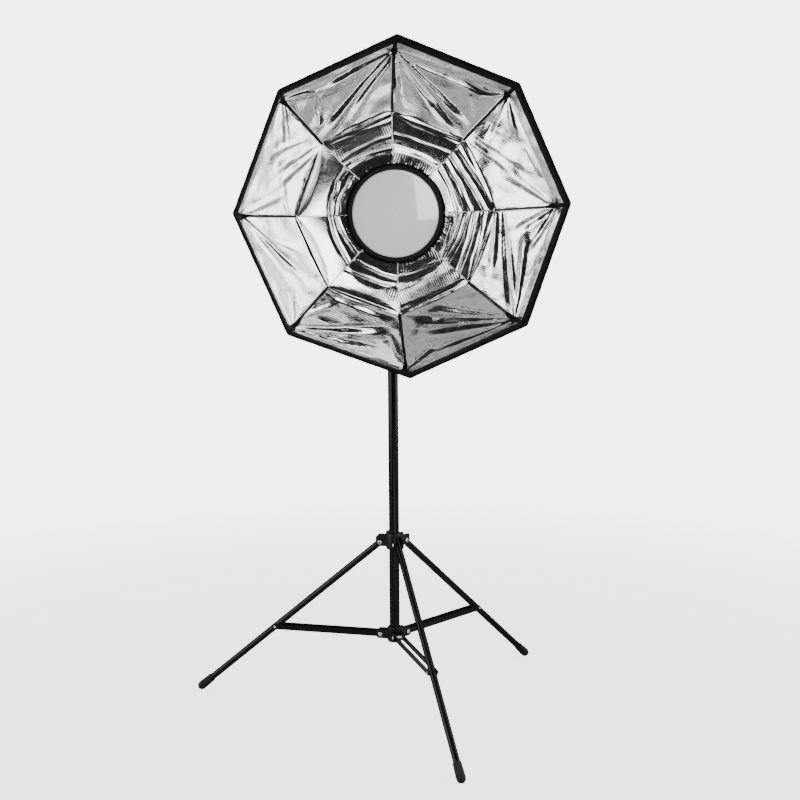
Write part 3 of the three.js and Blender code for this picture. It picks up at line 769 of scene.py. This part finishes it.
def make_stitches(name, rings):
    """Row of stitches along each face of the binding; rings is its cross sections."""
    points = []
    for low, high, far in STITCHED:
        line = 0.45 * rings[:, low] + 0.55 * rings[:, high]
        lift = rings[:, low] - rings[:, far]
        lift /= np.linalg.norm(lift, axis=1, keepdims=True)
        wide = rings[:, high] - rings[:, low]
        wide /= np.linalg.norm(wide, axis=1, keepdims=True)
        run = np.concatenate([[0], np.cumsum(np.linalg.norm(np.diff(line, axis=0), axis=1))])
        for i in range(int(run[-1] / STITCH_PITCH)):
            start = i * STITCH_PITCH + STITCH_START
            for s in (start, start + STITCH_LENGTH):
                p, up, out = (np.array([np.interp(s, run, a[:, j]) for j in range(3)])
                              for a in (line, lift, wide))
                points += [p + MM * (a * out + b * up) for a, b in STITCH_SECTION]
    return small_boxes(name, to_world(np.array(points)), "thread")


def unit(*v):
    """Unit vector along v."""
    return np.array(v) / np.linalg.norm(v)


# Radius and depth along a rib.
RIB_DIRECTION = unit(LIP_R - RIB_ROOT_R, LIP_D - RIB_ROOT_D)
LIP_WIDTH = FLAT_OUT[3] - FLAT_OUT[2]


def make_pocket(k):
    """Sleeve in the corner that takes the rib's end, from the rim's tape down over the rod."""
    a = corner_azimuth(k)
    tip = np.array([LIP_R, LIP_D])
    corner = unit(RIM_R - LIP_R, RIM_D - LIP_D)
    route = [tip - RIB_DIRECTION * s * MM for s in (26, 22, 16, 10, 4)]
    route += [tip + corner * s * MM + np.array([-1.5 + RIM_PULL[k] * s / LIP_WIDTH, 0]) * MM
              for s in (3, 10, 20, 32, 46, 58)]
    points = [lamp_point(a, r, d) for r, d in route]
    radii = np.array([2.8, 3.1, 3.6, 4.3, 4.7, 4.7, 4.2, 4.0, 4.0, 4.2, 4.2]) * MM
    inward = lamp_point(a, -0.82, 0.57)
    obj = tube(f"rib_pocket_{k + 1}", points, radii, "tape", 14, 0.8, inward)
    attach(obj, f"rib_{k + 1}")


SLIT_R, SLIT_EDGE_R = 3.5 * MM, 0.95 * MM


def make_slit_ring(k):
    """Turned edge of the slit that the rib comes out of."""
    a = corner_azimuth(k)
    rib = RIB_DIRECTION
    centre = lamp_point(a, MID_R + 2.5 * MM * rib[0], 2.5 * MM * rib[1])
    across = across_rib(k)
    along = lamp_point(a, rib[0], rib[1])
    out = np.cross(across, along)
    rings = []
    for t in np.linspace(0, 2 * math.pi, 28, endpoint=False):
        radial = math.cos(t) * across + math.sin(t) * out
        c = centre + radial * SLIT_R
        rings.append(np.array([c + SLIT_EDGE_R * (math.cos(q) * radial + math.sin(q) * along)
                               for q in np.linspace(0, 2 * math.pi, 8, endpoint=False)]))
    obj = swept(f"slit_ring_{k + 1}", rings, "silver", closed=True)
    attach(obj, f"rib_{k + 1}")


SEAM_SIDE = [1, -1, -1, -1, 1, 1, -1, 1]   # which side of each rib its seam's welt shows on
WELT_R = 0.95 * MM
WELT_OUT, WELT_BACK = 3.7 * MM, 1.5 * MM   # from the rib's line to the welt beside it


def make_welt(k):
    """Piping sewn into the seam: from the cuff to the slit, then beside the rib to its pocket."""
    a = corner_azimuth(k)
    across = across_rib(k) * SEAM_SIDE[k]
    points = []
    for r in np.linspace(106.5, 209, 30):
        v = np.array((r * MM - CUFF_R) / (MID_R - CUFF_R))
        depth = (1.5 - float(dish(k, np.array(1.0), v))) * MM
        points.append(lamp_point(a, r * MM, depth) + across * 0.25 * MM * math.sin(r / 9))
    slope = np.array([LIP_R - MID_R, LIP_D])
    inward = lamp_point(a, -LIP_D, LIP_R - MID_R) / np.linalg.norm(slope)
    for s in np.linspace(0.02, 0.95, 34):
        r, d = MID_R + s * slope[0], s * slope[1]
        shift = min(1, s / 0.08)
        points.append(lamp_point(a, r, d) + across * shift * WELT_OUT - inward * shift * WELT_BACK)
    obj = tube(f"seam_welt_{k + 1}", points, WELT_R, "silver", 8)
    start, end = (to_world(lamp_point(a, reach / math.sin(math.radians(HALF)) * MM, 0))
                  for reach in (BLEND_START, BLEND_END))
    tuple(start)
    tuple(end)
    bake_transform(obj)


HEM_R, HEM_D = 106.8, -2.6            # millimetres, the hem's middle in the lamp frame
HEM_WIDE, HEM_DEEP = 3.3, 3.4         # half its width and depth


def make_cuff():
    """Elastic hem that draws the cloth round the lamp, gathered all the way round."""
    rings = []
    for i in range(360):
        t = 2 * math.pi * i / 360
        gather = 0.5 * math.sin(61 * t) + 0.35 * math.sin(43 * t + 1) + 0.2 * math.sin(97 * t)
        wide, deep = HEM_WIDE + 0.2 * gather, HEM_DEEP + 0.4 * gather
        rings.append(np.array([lamp_point(t, (HEM_R + wide * math.cos(q)) * MM,
                                          (HEM_D + deep * math.sin(q)) * MM)
                               for q in np.linspace(0, 2 * math.pi, 12, endpoint=False)]))
    obj = swept("elastic_hem", rings, "tape", closed=True, uv_scale=2.0)
    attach(obj, "lamp_head")


def make_diffuser():
    """Slightly domed opal disc with a rounded rim, in place of the faceted one."""
    dome, back = 2.2, -2.9            # millimetres forward of the lamp frame's origin
    profile = [(DISC_R * q, dome * (1 - q * q)) for q in np.linspace(0.01, 0.985, 26)]
    profile += [(DISC_R - 0.5 * MM, -0.3), (DISC_R, -0.9), (DISC_R, back), (DISC_R * 0.01, back)]
    rings = [np.array([lamp_point(t, r, d * MM) for r, d in profile])
             for t in np.linspace(0, 2 * math.pi, 128, endpoint=False)]
    obj = swept("opal_disc", rings, "opal", closed=True)
    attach(obj, "lamp_head")
    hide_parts("diffuser")


def make_softbox():
    """Every piece of the softbox, rib by rib, and the lamp's disc."""
    for k in range(8):
        make_pocket(k)
        make_slit_ring(k)
        make_welt(k)
        for half, cloth in enumerate(make_gore(k)):
            sewn_on = make_binding(k, half)
    make_cuff()
    make_diffuser()


# ------------------------------------------------------------------ stand hardware
PIVOT_R, BRACE, COLLAR_Z, HUB_Z = 32, 262, 396, 174      # millimetres, as in the CAD


def yoke_point(azimuth, r, y, z):
    """World point in a leg's plane: r out from the column, y to its side, z up; millimetres."""
    a = math.radians(azimuth)
    return np.array(AXIS) + MM * np.array([math.cos(a) * r - math.sin(a) * y,
                                           math.sin(a) * r + math.cos(a) * y, z])


STRAP_FACE = 12.2      # millimetres from the leg's plane to a strap's outer face
# A rivet's end: radius, and height over the strap.
RIVET = [(2.9, -0.2), (2.9, 0.6), (2.3, 1.1), (1.5, 0.9), (0.9, 0.35), (0.05, 0.3), (0.05, -0.2)]


def make_rivets(n, azimuth):
    """Domed steel rivet ends where the straps meet the leg."""
    for strap, side in (("a", 1), ("b", -1)):
        rings = []
        for t in np.linspace(0, 2 * math.pi, 24, endpoint=False):
            rings.append(np.array([yoke_point(azimuth, PIVOT_R + BRACE + r * math.cos(t),
                                              side * (STRAP_FACE + y),
                                              HUB_Z + r * math.sin(t))
                                   for r, y in RIVET]))
        obj = swept(f"strap_rivet_{n}_{strap}", rings, "steel", closed=True, world=True)
        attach(obj, f"brace_{n}")


# The pin heads' driver recesses are painted shade: a thin dark cross stands proud of each head in
# place of a hollow.
RECESS_SHADE_Y = (13.4, 13.78)       # millimetres from the leg's plane: the bar's foot and its face
RECESS_SHADE_BAR = ((-2.1, -0.5), (2.1, -0.5), (2.1, 0.5), (-2.1, 0.5))


def paint_recess_shade(name, azimuth, z, body):
    """Thin dark cross standing on both heads of a pivot pin: painted shade of its driver recess,
    which isn't cut into the head.
    """
    points = []
    for side in (1, -1):
        for turn in (25, 115):
            c, s = math.cos(math.radians(turn)), math.sin(math.radians(turn))
            points += [yoke_point(azimuth, PIVOT_R + u * c - v * s, side * y, z + u * s + v * c)
                       for y in RECESS_SHADE_Y for u, v in RECESS_SHADE_BAR]
    # The dark rubber material here is painted shade of the recess, not rubber.
    obj = small_boxes(name, np.array(points), "rubber")
    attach(obj, body)


finish_cad_nodes()
make_softbox()
for n, azimuth in enumerate(LEG_AZIMUTHS, 1):
    make_rivets(n, azimuth)
    paint_recess_shade(f"collar_pin_recess_painted_shade_{n}", azimuth, COLLAR_Z, "leg_collar")
    paint_recess_shade(f"hub_pin_recess_painted_shade_{n}", azimuth, HUB_Z, "column")


# ------------------------------------------------------------------ studio
FLOOR_HALF = 2.6
FLOOR_GLOW = 2.6               # lifts the floor towards the white surround, as the camera sees it
FADE_START, FADE_SPAN = 1.1, 1.3    # metres from the middle, where the floor fades out
DARK_START, DARK_SPAN = 0.1, 0.5    # metres behind the middle, where reflections find it darker
WORLD_SEEN, WORLD_LIT = 5.0, 0.012  # the surround's strength to the camera, and to all else
# Soft panels that face the softbox. Azimuth runs from -Y towards +X, as seen from the softbox;
# then elevation, distance, width, height and radiance.
PANELS = {
    "left_panel": (-73, 6, 2.6, 3.0, 2.6, 4.5),
    "right_panel": (78, 6, 2.6, 2.7, 2.6, 4.5),
    "window_panel": (24, 19.1, 4.4, 2.1, 1.7, 6.5),
    "top_right_panel": (95, 62, 2.6, 1.3, 1.0, 3.0),
    "low_panel": (12, -42, 1.6, 1.0, 0.5, 3.0),
    "ceiling_panel": (-60, 70, 2.6, 1.8, 1.3, 0.5),
    "back_left_panel": (-148, 34, 3.0, 2.0, 1.4, 7.0),
    "back_right_panel": (142, 38, 3.0, 2.0, 1.4, 8.0),
}


def floor_material():
    """Pale floor that fades out into the white surround a couple of metres from the stand."""
    n = Nodes("pale_floor")
    pale = n.ramp(n.noise(n.coords(), 2.0, 3), [(0.3, 0.31), (0.7, 0.34)])
    n.set(Roughness=0.9, Specular_IOR_Level=0.1)
    n.finish(pale)

    def mixed(factor, first, second):
        """Mix of two shaders' outputs."""
        mix = n.add("MixShader")
        for i, source in enumerate((factor, first, second)):
            n.link(source, mix.inputs[i])
        return mix.outputs[0]

    # What the camera sees: the floor, lifted by an even glow.
    glow = n.add("Emission", Color=(1, 1, 1, 1), Strength=FLOOR_GLOW)
    lit = n.add("AddShader")
    n.link(n.shader.outputs[0], lit.inputs[0])
    n.link(glow.outputs[0], lit.inputs[1])
    # What everything else sees: no glow, and darker behind the stand.
    place = n.add("SeparateXYZ")
    n.link(n.coords(), place.inputs[0])
    behind = n.math("SUBTRACT", place.outputs["Y"], DARK_START)
    behind = n.math("DIVIDE", behind, DARK_SPAN, clamp=True)
    dark = n.add("BsdfDiffuse", Color=(0.01, 0.01, 0.01, 1))
    plain = mixed(behind, n.shader.outputs[0], dark.outputs[0])
    seen = mixed(n.add("LightPath").outputs["Is Camera Ray"], plain, lit.outputs[0])
    # Both fade out with the distance.
    distance = n.add("VectorMath", operation="LENGTH")
    n.link(n.coords(), distance.inputs[0])
    edge = n.math("SUBTRACT", distance.outputs["Value"], FADE_START)
    edge = n.math("DIVIDE", edge, FADE_SPAN, clamp=True)
    faded = mixed(edge, seen, n.add("BsdfTransparent").outputs[0])
    n.link(faded, n.tree.nodes["Material Output"].inputs["Surface"])
    return n.material


def make_floor():
    """The floor, which isn't part of the object."""
    mesh = bpy.data.meshes.new("floor")
    corners = [(x * FLOOR_HALF, y * FLOOR_HALF, 0) for x, y in ((-1, -1), (1, -1), (1, 1), (-1, 1))]
    mesh.from_pydata(corners, [], [(0, 1, 2, 3)])
    floor = bpy.data.objects.new("floor", mesh)
    bpy.context.scene.collection.objects.link(floor)
    mesh.materials.append(floor_material())


def make_panel(name, azimuth, elevation, distance, width, height, radiance):
    """One of the soft panels; the camera doesn't see it."""
    a, e = math.radians(azimuth), math.radians(elevation)
    direction = Vector((math.sin(a) * math.cos(e), -math.cos(a) * math.cos(e), math.sin(e)))
    data = bpy.data.lights.new(name, "AREA")
    data.shape, data.size, data.size_y = "RECTANGLE", width, height
    data.energy = radiance * math.pi * width * height
    obj = bpy.data.objects.new(name, data)
    bpy.context.scene.collection.objects.link(obj)
    obj.location = LAMP @ Vector((0, -0.06, 0)) + direction * distance
    obj.rotation_euler = direction.to_track_quat("Z", "Y").to_euler()
    obj.visible_camera = False


def make_world():
    """White surround to the camera, and nearly black to all else, so that the panels light it."""
    world = bpy.data.worlds.new("world")
    bpy.context.scene.world = world
    world.use_nodes = True
    tree = world.node_tree
    tree.nodes.clear()
    out = tree.nodes.new("ShaderNodeOutputWorld")
    mix = tree.nodes.new("ShaderNodeMixShader")
    path = tree.nodes.new("ShaderNodeLightPath")
    tree.links.new(path.outputs["Is Camera Ray"], mix.inputs[0])
    for i, strength in ((1, WORLD_LIT), (2, WORLD_SEEN)):
        background = tree.nodes.new("ShaderNodeBackground")
        background.inputs["Color"].default_value = (1, 1, 1, 1)
        background.inputs["Strength"].default_value = strength
        tree.links.new(background.outputs[0], mix.inputs[i])
    tree.links.new(mix.outputs[0], out.inputs[0])


make_floor()
for name, numbers in PANELS.items():
    make_panel(name, *numbers)
make_world()
